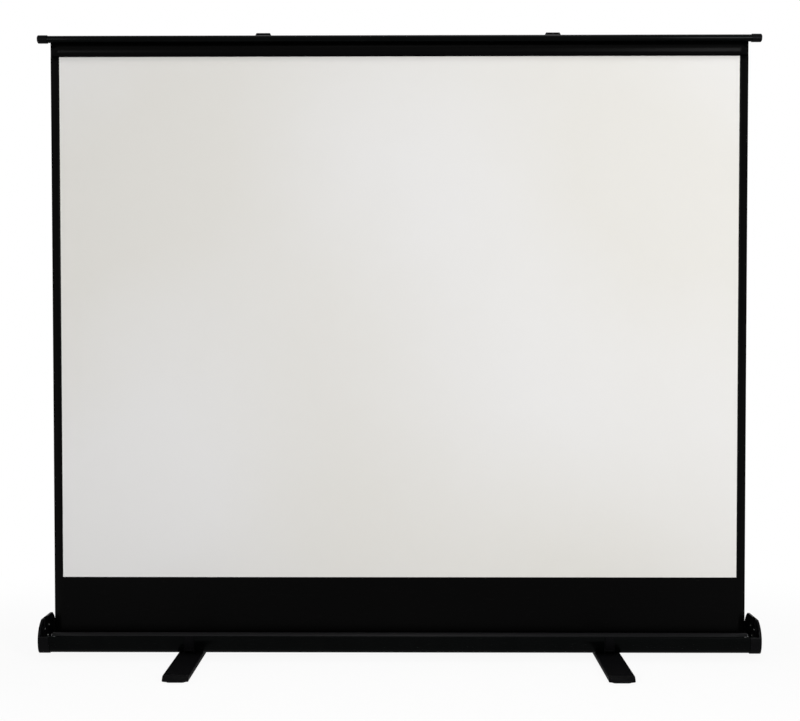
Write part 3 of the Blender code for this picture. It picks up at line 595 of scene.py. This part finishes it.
white_cloth = coated_cloth(
    "coated_cloth_matte_white", "#dfddd8", "#e4e3e2", roughness=(0.8, 0.95), shine=0.3
)
mask_cloth = coated_cloth(
    "printed_mask_black", "#010101", "#030303", roughness=(0.30, 0.36), shine=0.03
)
back_cloth = coated_cloth(
    "coated_cloth_black_back", "#131314", "#1a1a1b", roughness=(0.5, 0.65), shine=0.12
)
print("cloths:", white_cloth.name, mask_cloth.name, back_cloth.name)

# %% [markdown]
# The sheet hangs on the case's roller and the border on the tube.

# %% How the sheet moves
for piece in (sheet, border):
    for material in (white_cloth, mask_cloth, back_cloth):
        piece.data.materials.append(material)
    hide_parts("screen_fabric")
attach(sheet, "case")
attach(border, "top_bar")
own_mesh(sheet)

# %% [markdown]
# ## The fabric left on the roller
#
# The roller keeps a few turns of fabric when the screen is drawn out, so the pull never
# reaches the glue line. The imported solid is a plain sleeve. The real thing is a spiral,
# and its end face shows the turns, so a strip is wound here point by point: the radius
# grows by the fabric's thickness and a little air with each turn. It ends where the flat
# sheet leaves the roller.

# %% Wound fabric
TURN_AIR = 0.12 * MM
TURN_STEPS = 40
sleeve_low, sleeve_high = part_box("roller_fabric")
roller_axis = (sleeve_low + sleeve_high) / 2
outer_radius = (sleeve_high.z - sleeve_low.z) / 2
bare_tube_low, bare_tube_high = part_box("roller_tube")
tube_radius = (bare_tube_high.z - bare_tube_low.z) / 2


def make_winding():
    """A spiral strip round the roller tube, with both faces, and its flat length."""
    pitch = fabric_thickness + TURN_AIR
    turns = (outer_radius - tube_radius - fabric_thickness - TURN_AIR) / pitch
    count = round(turns * TURN_STEPS)
    mesh = bmesh.new()
    flat = mesh.loops.layers.uv.new("flat_metres")
    rows = []
    length = 0.0
    for number in range(count + 1):
        back_turn = (count - number) / TURN_STEPS
        angle = -math.tau * back_turn
        radius = outer_radius - back_turn * pitch
        ring = []
        for depth in (0, fabric_thickness):
            across = (radius - depth) * math.cos(angle)
            up = (radius - depth) * math.sin(angle)
            for x in (sleeve_low.x, sleeve_high.x):
                ring.append(mesh.verts.new((x, roller_axis.y + across, roller_axis.z + up)))
        if rows:
            length += math.tau / TURN_STEPS * (radius - fabric_thickness / 2)
        rows.append((ring, length))
    for (start, low), (end, high) in zip(rows, rows[1:]):
        quads = ((start[0], start[1], end[1], end[0]), (start[2], end[2], end[3], start[3]),
                 (start[0], end[0], end[2], start[2]), (start[1], start[3], end[3], end[1]))
        for corners in quads:
            face = mesh.faces.new(corners)
            face.smooth = True
            for loop in face.loops:
                loop[flat].uv = (loop.vert.co.x, low if loop.vert in start else high)
    for ring, _ in (rows[0], rows[-1]):
        mesh.faces.new((ring[0], ring[2], ring[3], ring[1]))
    bmesh.ops.recalc_face_normals(mesh, faces=mesh.faces)
    return new_piece("wound_fabric", mesh), turns, length


winding, turns, winding_length = make_winding()
winding.data.materials.append(back_cloth)
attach(winding, "roller")
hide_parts("roller_fabric")
print("turns on the roller:", round(turns, 2), "length:", round(winding_length, 4))

# %% [markdown]
# ## Rubber lips of the end caps
#
# The lowered tube lies in a cradle at each end cap. In the photograph nothing of the
# cradle breaks the cap's outline, so a soft rubber lip closes it on the outside while the
# screen is up. The lip follows the cradle's edge, and its top leans in as the cap's
# rounded edge does. The tube's end folds it down.
# The cradle's size and the lowest level of the tube's sleeve are those of the case.

# %% Cap lips
LIP_THICKNESS = 1.0 * MM
LIP_INSET = 0.15 * MM
LIP_LAP = 0.8 * MM
EDGE_ROUND = 3 * MM
BELOW_EDGE = 0.1 * MM
LIP_STEPS = 18
CRADLE_BOTTOM = 72.2 * MM
CRADLE_RADIUS = 13.8 * MM
PLUG_RADIUS = 12.2 * MM


def make_lip(label, side):
    """The thin rubber wall that closes the cradle of one cap on the outside."""
    low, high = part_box(f"end_cap_{label}")
    edge = high.x if side > 0 else -low.x
    outer = edge - LIP_INSET
    middle_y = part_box(f"tube_plug_{label}")[0].y + PLUG_RADIUS
    radius = CRADLE_RADIUS + LIP_LAP
    middle_z = CRADLE_BOTTOM + CRADLE_RADIUS
    mesh = bmesh.new()
    faces = []
    for x in (outer - LIP_THICKNESS, outer):
        into = max(0.0, x - (edge - EDGE_ROUND))
        rounded = math.sqrt(max(0.0, EDGE_ROUND ** 2 - into ** 2))
        top = high.z - EDGE_ROUND + rounded - BELOW_EDGE
        loop = [(middle_y - radius, top)]
        for number in range(LIP_STEPS + 1):
            angle = math.pi + math.pi * number / LIP_STEPS
            across, up = radius * math.cos(angle), radius * math.sin(angle)
            loop.append((middle_y + across, middle_z + up))
        loop.append((middle_y + radius, top))
        faces.append([mesh.verts.new((side * x, y, z)) for y, z in loop])
    inside, outside = faces
    mesh.faces.new(inside)
    mesh.faces.new(list(reversed(outside)))
    count = len(inside)
    for number in range(count):
        after = (number + 1) % count
        mesh.faces.new((inside[number], outside[number], outside[after], inside[after]))
    bmesh.ops.recalc_face_normals(mesh, faces=mesh.faces)
    lip = new_piece(f"cap_lip_{label}", mesh)
    lip.data.materials.append(rubber_finish)
    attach(lip, "case")
    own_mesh(lip)
    return lip


lips = [make_lip("left", -1), make_lip("right", 1)]
print("cap lips:", [lip.name for lip in lips])

# %% [markdown]
# ## Noses of the feet
#
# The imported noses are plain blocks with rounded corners. The moulded nose is softer: its
# top falls away toward the tip, its front bows out in the middle, and the edge that meets
# the floor is thin. A loft makes it. The section of the foot's profile is drawn again and
# again along the nose, each time lower, and the points near its middle run ahead.

# %% Noses
PROFILE_CORNER = 4 * MM
NOSE_GAP = 0.3 * MM
NOSE_BOW = 9 * MM
TIP_HEIGHT = 3.2 * MM
TIP_ROUND = 1.2 * MM
NOSE_STEPS = (0, 0.12, 0.25, 0.38, 0.5, 0.62, 0.72, 0.81, 0.88, 0.94, 0.98, 1)
ROUND_FROM = 0.88
WIDE_STEPS = 14
CORNER_STEPS = 5


def nose_section(half, low, high, corner):
    """Points round a section with rounded corners and many points on its long edges."""
    corner = min(corner, (high - low) / 2.1)
    points = []
    for side, level, turn in ((1, low, -90), (-1, high, 90)):
        wide = half - corner
        for number in range(1, WIDE_STEPS):
            points.append((side * wide * (2 * number / WIDE_STEPS - 1), level))
        for across, up, first in ((side, -side, turn), (side, side, turn + 90)):
            centre = (across * wide, (low + corner) if up < 0 else (high - corner))
            for number in range(CORNER_STEPS + 1):
                angle = math.radians(first + 90 * number / CORNER_STEPS)
                x, z = corner * math.cos(angle), corner * math.sin(angle)
                points.append((centre[0] + x, centre[1] + z))
    return points


def make_nose(end, label, toward):
    """The moulded nose at one end of one foot."""
    name = f"foot_nose_{end}_{label}"
    bar_low, bar_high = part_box(f"foot_{label}")
    plug_low, plug_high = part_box(name)
    middle = (bar_low.x + bar_high.x) / 2
    half = (bar_high.x - bar_low.x) / 2
    start = (bar_high.y if toward > 0 else -bar_low.y) + NOSE_GAP
    length = (plug_high.y if toward > 0 else -plug_low.y) - start
    mesh = bmesh.new()
    rings = []
    for share in NOSE_STEPS:
        fall = 1 - share ** 2
        high = bar_low.z + TIP_HEIGHT + (bar_high.z - bar_low.z - TIP_HEIGHT) * fall
        late = max(0.0, share - ROUND_FROM) / (1 - ROUND_FROM)
        inset = TIP_ROUND * (1 - math.sqrt(1 - late ** 2))
        section = nose_section(
            half - inset, bar_low.z + inset, high - inset, PROFILE_CORNER
        )
        ring = []
        for across, up in section:
            along = start + length * share - NOSE_BOW * share * (across / half) ** 2
            ring.append(mesh.verts.new((middle + across, toward * along, up)))
        rings.append(ring)
    count = len(rings[0])
    for near, far in zip(rings, rings[1:]):
        for number in range(count):
            after = (number + 1) % count
            mesh.faces.new((near[number], near[after], far[after], far[number])).smooth = True
    mesh.faces.new(rings[0])
    face = mesh.faces.new(rings[-1])
    bmesh.ops.triangulate(mesh, faces=[face])
    bmesh.ops.recalc_face_normals(mesh, faces=mesh.faces)
    nose = new_piece(f"shaped_{name}", mesh)
    nose.data.materials.append(cap_finish)
    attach(nose, f"swing_foot_{label}")
    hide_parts(name)
    return nose


noses = [
    make_nose(end, label, toward)
    for label in ("left", "right") for end, toward in (("front", -1), ("rear", 1))
]
print("noses:", len(noses))

# %% [markdown]
# ## Screws
#
# Small pan-head screws hold the caps and the roller brackets. A pan head is turned: a
# flat rim, a rounded shoulder and a gentle dome. The cross recess could be cut with a
# Boolean, but moving the points of a fine polar grid down inside a cross gives the same
# look without risk. In the photograph two of them glint inside the right cap.

# %% Screws
HEAD_RINGS = (0.0, 0.14, 0.28, 0.42, 0.56, 0.72, 0.86, 0.95, 1.0)
HEAD_SEGMENTS = 32
CROSS_SHARE = 0.62
CROSS_WIDTH_SHARE = 0.17
HEIGHT_SHARE = 0.55
DOME_FALL = 0.18
SHOULDER_FROM = 0.8
SHOULDER_FALL = 4.4
SHOULDER_POWER = 1.5
RECESS_DEPTH = 0.6
RECESS_TAPER = 0.5
RIM_BELOW = 0.2


def head_level(x, y, share):
    """Height of the head's top at a point, as a share of the head's height."""
    shoulder = max(0.0, share - SHOULDER_FROM) ** SHOULDER_POWER
    level = 1 - DOME_FALL * share ** 2 - SHOULDER_FALL * shoulder
    if min(abs(x), abs(y)) < CROSS_WIDTH_SHARE and share < CROSS_SHARE:
        level -= RECESS_DEPTH * (1 - share / CROSS_SHARE * RECESS_TAPER)
    return level


def make_screw(name, place, facing, radius, body):
    """A pan-head screw with a cross recess, whose head faces a direction."""
    height = radius * HEIGHT_SHARE
    mesh = bmesh.new()
    rings = []
    for share in HEAD_RINGS:
        ring = []
        for number in range(HEAD_SEGMENTS):
            angle = math.tau * number / HEAD_SEGMENTS
            x, y = share * math.cos(angle), share * math.sin(angle)
            up = height * head_level(x, y, share)
            ring.append(mesh.verts.new((x * radius, y * radius, up)))
            if share == 0:
                break
        rings.append(ring)
    low = -height * RIM_BELOW
    rings.append([mesh.verts.new((point.co.x, point.co.y, low)) for point in rings[-1]])
    for number in range(HEAD_SEGMENTS):
        after = (number + 1) % HEAD_SEGMENTS
        mesh.faces.new((rings[0][0], rings[1][number], rings[1][after]))
        for inner, outer in zip(rings[1:], rings[2:]):
            mesh.faces.new((inner[number], outer[number], outer[after], inner[after]))
    mesh.faces.new(list(reversed(rings[-1])))
    for face in mesh.faces:
        face.smooth = True
    turn = Vector(facing).to_track_quat("Z", "X").to_matrix().to_4x4()
    mesh.transform(Matrix.Translation(place) @ turn)
    bmesh.ops.recalc_face_normals(mesh, faces=mesh.faces)
    screw = new_piece(name, mesh)
    screw.data.materials.append(zinc_finish)
    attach(screw, body)
    return screw


print("rings of a screw head:", len(HEAD_RINGS))

# %% [markdown]
# Each cap has two screws whose heads stand a little clear of the roller's bracket, and
# each bracket has two of its own, smaller ones. All heads face the middle of the case.

# %% Places of the screws
CAP_SCREW_PLACES = ((0.010, 0.088), (-0.003, 0.060))
CAP_SCREW_RADIUS = 2.4 * MM
BRACKET_SCREW_RADIUS = 1.9 * MM
BRACKET_SCREW_EDGE = 6.5 * MM
BRACKET_GAP = 0.3 * MM
BRACKET_PLATE = 4 * MM
screws = []
for label, side in (("left", -1), ("right", 1)):
    bracket_low, bracket_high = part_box(f"roller_bracket_{label}")
    bracket_back = max(abs(bracket_low.x), abs(bracket_high.x))
    inward = (-side, 0, 0)
    for number, (y, z) in enumerate(CAP_SCREW_PLACES, 1):
        name = f"cap_screw_{number}_{label}"
        place = (side * (bracket_back + BRACKET_GAP), y, z)
        screws.append(make_screw(name, place, inward, CAP_SCREW_RADIUS, "case"))
    y = bracket_high.y - BRACKET_SCREW_EDGE
    levels = (bracket_low.z + BRACKET_SCREW_EDGE, bracket_high.z - BRACKET_SCREW_EDGE)
    for number, z in enumerate(levels, 1):
        name = f"bracket_screw_{number}_{label}"
        place = (side * (bracket_back - BRACKET_PLATE), y, z)
        screws.append(make_screw(name, place, inward, BRACKET_SCREW_RADIUS, "case"))
print("screws:", len(screws))

# %% [markdown]
# ## Camera
#
# The photograph looks straight at the screen from about three and a half metres, at half
# its height. The position, the small turns and the focal length were fitted to the tube's
# ends, the fabric's edges and the feet. The focal length was found in pixels of an
# 800-pixel picture and is turned to millimetres on a 36 mm sensor.

# %% Camera
PICTURE_WIDTH = 800
FOCAL_PIXELS = 1180
SENSOR_WIDTH = 36
CAMERA_PLACE = Vector((0.0273, -3.5336, 0.9791))
PITCH_DOWN = 0.0259
YAW = -0.0069
ROLL = -0.0005

level_share = math.cos(PITCH_DOWN)
forward = Vector((
    math.sin(YAW) * level_share, math.cos(YAW) * level_share, -math.sin(PITCH_DOWN)
))
level_right = Vector((math.cos(YAW), -math.sin(YAW), 0))
level_up = level_right.cross(forward)
right = level_right * math.cos(ROLL) + level_up * math.sin(ROLL)
up = level_up * math.cos(ROLL) - level_right * math.sin(ROLL)

camera_data = bpy.data.cameras.new("camera")
camera_data.sensor_width = SENSOR_WIDTH
camera_data.lens = FOCAL_PIXELS * SENSOR_WIDTH / PICTURE_WIDTH
camera = bpy.data.objects.new("camera", camera_data)
bpy.context.scene.collection.objects.link(camera)
facing = Matrix((right, up, -forward)).transposed()
camera.matrix_world = Matrix.Translation(CAMERA_PLACE) @ facing.to_4x4()
bpy.context.scene.camera = camera
print("lens in millimetres:", round(camera_data.lens, 1))

# %% [markdown]
# ## Floor
#
# The photograph's ground and background are plain white. The floor is a matte pale
# surface that takes the lamps' light, so it keeps the object's shadow. For the rays that
# the camera, a gloss or a clear piece sends out, a share of plain white is mixed in. The
# share grows with the distance from the object, and the floor's edge melts into the white
# background, so there is no horizon. The object is long and shallow, so the distance is
# measured with the length shortened.

# %% Floor
FLOOR_REACH = 14.0
FLOOR_LIGHT = linear("#f8f8f8")
FLOOR_DARK = linear("#f4f4f3")
WHITE = linear("#ffffff")
FLOOR_CLOUD = 120 * MM
WHITE_SHARE_NEAR = 0.92
OBJECT_SHAPE = (0.4, 1, 1)
FADE_START = 0.35
FADE_END = 1.3


def seen_rays(tree):
    """1 for rays from the camera, a gloss or a clear piece, and 0 for other light."""
    ray = add_node(tree, "ShaderNodeLightPath").outputs
    seen = add_node(
        tree, "ShaderNodeMath", {0: ray["Is Camera Ray"], 1: ray["Is Glossy Ray"]},
        operation="MAXIMUM",
    ).outputs["Value"]
    return add_node(
        tree, "ShaderNodeMath", {0: seen, 1: ray["Is Transmission Ray"]}, operation="MAXIMUM"
    ).outputs["Value"]


def floor_finish():
    """Pale matte floor that keeps shadows near the object and is white further off."""
    material, tree, shader, place = start_finish(
        "matte_studio_floor", Roughness=0.9, Specular_IOR_Level=0.0
    )
    clouds = add_node(
        tree, "ShaderNodeTexNoise", {"Vector": place, "Scale": spot_scale(FLOOR_CLOUD)}
    ).outputs["Fac"]
    colour = add_node(
        tree, "ShaderNodeMix", {"Factor": clouds, "A": FLOOR_DARK, "B": FLOOR_LIGHT},
        data_type="RGBA",
    )
    tree.links.new(colour.outputs["Result"], shader.inputs["Base Color"])
    shortened = add_node(
        tree, "ShaderNodeMapping", {"Vector": place, "Scale": OBJECT_SHAPE}
    ).outputs["Vector"]
    distance = add_node(
        tree, "ShaderNodeVectorMath", {0: shortened}, operation="LENGTH"
    ).outputs["Value"]
    share = add_node(
        tree, "ShaderNodeMapRange",
        {"Value": distance, "From Min": FADE_START, "From Max": FADE_END,
         "To Min": WHITE_SHARE_NEAR, "To Max": 1.0},
        interpolation_type="SMOOTHSTEP",
    ).outputs["Result"]
    share = add_node(
        tree, "ShaderNodeMath", {0: share, 1: seen_rays(tree)}, operation="MULTIPLY"
    ).outputs["Value"]
    white = add_node(tree, "ShaderNodeEmission", {"Color": WHITE, "Strength": 1.0})
    mixed = add_node(
        tree, "ShaderNodeMixShader",
        {"Fac": share, 1: shader.outputs["BSDF"], 2: white.outputs["Emission"]},
    )
    output = tree.nodes["Material Output"]
    tree.links.new(mixed.outputs["Shader"], output.inputs["Surface"])
    return material


floor_mesh = bpy.data.meshes.new("floor")
corners = [(-FLOOR_REACH, -FLOOR_REACH, 0), (FLOOR_REACH, -FLOOR_REACH, 0)]
corners += [(FLOOR_REACH, FLOOR_REACH, 0), (-FLOOR_REACH, FLOOR_REACH, 0)]
floor_mesh.from_pydata(corners, [], [(0, 1, 2, 3)])
floor = bpy.data.objects.new("floor", floor_mesh)
bpy.context.scene.collection.objects.link(floor)
floor.data.materials.append(floor_finish())
print("floor reach in metres:", FLOOR_REACH)

# %% [markdown]
# ## World
#
# The world gives even light from all round, as the walls of a white studio do. It lights
# the object at a third of full strength, and the camera sees plain white in its place.

# %% World
WORLD_LIGHT = 0.32

world = bpy.data.worlds.new("studio")
bpy.context.scene.world = world
world.use_nodes = True
sky = world.node_tree
sky.nodes.clear()
lighting = add_node(sky, "ShaderNodeBackground", {"Color": WHITE, "Strength": WORLD_LIGHT})
backdrop = add_node(sky, "ShaderNodeBackground", {"Color": WHITE, "Strength": 1.0})
mixed = add_node(
    sky, "ShaderNodeMixShader",
    {"Fac": seen_rays(sky), 1: lighting.outputs["Background"],
     2: backdrop.outputs["Background"]},
)
add_node(sky, "ShaderNodeOutputWorld", {"Surface": mixed.outputs["Shader"]})
print("world light:", WORLD_LIGHT)

# %% [markdown]
# ## Lamps
#
# The photograph is a little brighter on its right side, so a tall soft box stands there
# beside the camera. A weaker one on the left fills, and a wide one above lays the soft
# shadow under the case. `Standard` shows the colours as they are written.

# %% Lamps
def soft_lamp(name, place, target, size, power):
    """A soft box with a width and a height that points at a place."""
    data = bpy.data.lights.new(name, "AREA")
    data.shape = "RECTANGLE"
    data.size, data.size_y = size
    data.energy = power
    lamp = bpy.data.objects.new(name, data)
    lamp.location = place
    aim = Vector(target) - Vector(place)
    lamp.rotation_euler = aim.to_track_quat("-Z", "Y").to_euler()
    bpy.context.scene.collection.objects.link(lamp)
    return lamp


soft_lamp(
    "main_lamp", place=(1.85, -3.1, 1.75), target=(0.7, 0, 1.3), size=(0.6, 2.0), power=64
)
soft_lamp(
    "fill_lamp", place=(-2.1, -2.9, 1.5), target=(-1.0, 0, 1.2), size=(0.6, 0.9), power=21
)
soft_lamp(
    "top_lamp", place=(0.3, -0.6, 4.2), target=(0, 0, 0.6), size=(2.4, 2.4), power=26
)
bpy.context.scene.view_settings.view_transform = "Standard"
